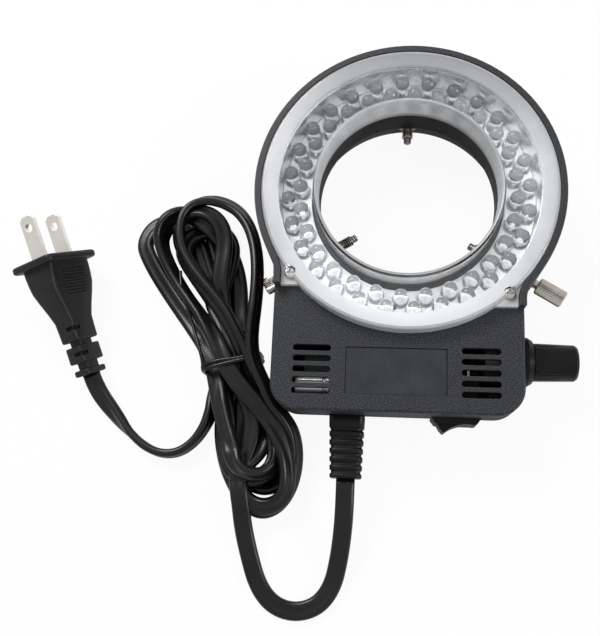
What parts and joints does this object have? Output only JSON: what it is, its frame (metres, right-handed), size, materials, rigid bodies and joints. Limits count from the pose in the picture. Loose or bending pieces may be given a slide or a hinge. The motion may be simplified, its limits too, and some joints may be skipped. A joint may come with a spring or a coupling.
{
  "type": "microscope led ring light",
  "caption": "Ring light for a stereo microscope: clear-covered ring of LEDs, clamping thumbscrews, dimmer box with knob and rocker switch, mains cord in a tied hank and plug.",
  "frame": {"origin": "on the axis of the clamping bore, at the lower end of its straight wall, 12 mm above the back face", "axes": "+Z along the bore's axis out of the lit face, -Y towards the dimmer box, +X towards the knob"},
  "size_m": [0.1936, 0.2059, 0.032],
  "materials": {
    "housing": "fine grain, matte black",
    "back": "fine grain, matte black",
    "screws": "nickel plated",
    "led_board": "white solder mask",
    "led": "clear epoxy",
    "reflector": "satin white",
    "clear": "clear polished plastic",
    "thumbscrews": "nickel plated, knurled head",
    "brass": "machined",
    "plate": "glossy black, blank",
    "knob": "satin black, fluted",
    "shaft": "turned",
    "pot": "pressed steel",
    "switch": "satin black",
    "rocker": "satin black",
    "circuit": "green solder mask",
    "can": "bare can",
    "coil": "taped winding",
    "film": "dipped",
    "wire": "insulated",
    "relief": "satin black",
    "cord": "satin black, flat twin",
    "tie": "plastic-coated wire",
    "plug": "moulded, satin black",
    "blades": "nickel plated"
  },
  "bodies": {
    "housing": {"front_housing": "housing", "back_cover": "back", "back_screws": "screws", "led_board": "led_board", "leds_outer": "led", "leds_inner": "led", "reflector": "reflector", "clear_cover": "clear", "cover_screws": "screws", "thread_sleeves": "brass", "label_plate": "plate", "pot_body": "pot", "pot_nut": "screws", "switch_body": "switch", "switch_terminals": "brass", "driver_board": "circuit", "capacitor": "can", "transformer": "coil", "film_capacitor": "film", "led_wires": "wire", "pot_wires": "wire", "mains_wires": "wire", "strain_relief": "relief", "cord_lead": "cord", "cord_hank": "cord", "cord_tail": "cord", "twist_tie": "tie", "plug_body": "plug", "plug_blades": "blades"},
    "thumbscrew_top_body": {"thumbscrew_top": "thumbscrews"},
    "thumbscrew_left_body": {"thumbscrew_left": "thumbscrews"},
    "thumbscrew_right_body": {"thumbscrew_right": "thumbscrews"},
    "knob": {"dimmer_knob": "knob", "pot_shaft": "shaft"},
    "rocker_body": {"rocker": "rocker"}
  },
  "joints": [
    {"name": "thumbscrew_top_slide", "type": "slide", "parent": "housing", "child": "thumbscrew_top_body", "axis": [0, -1, 0], "range_m": [-0.0073, 0.0055]},
    {"name": "thumbscrew_left_slide", "type": "slide", "parent": "housing", "child": "thumbscrew_left_body", "axis": [0.8572, 0.515, 0], "range_m": [-0.0128, 0]},
    {"name": "thumbscrew_right_slide", "type": "slide", "parent": "housing", "child": "thumbscrew_right_body", "axis": [-0.8572, 0.515, 0], "range_m": [-0.0077, 0.0051]},
    {"name": "dimmer_turn", "type": "hinge", "parent": "housing", "child": "knob", "pos_m": [0.0378, -0.0556, 0.0015], "axis": [1, 0, 0], "range_deg": [-150, 150]},
    {"name": "rocker_tilt", "type": "hinge", "parent": "housing", "child": "rocker_body", "pos_m": [0.0168, -0.075, 0.001], "axis": [0, 0, -1], "range_deg": [0, 30]}
  ]
}
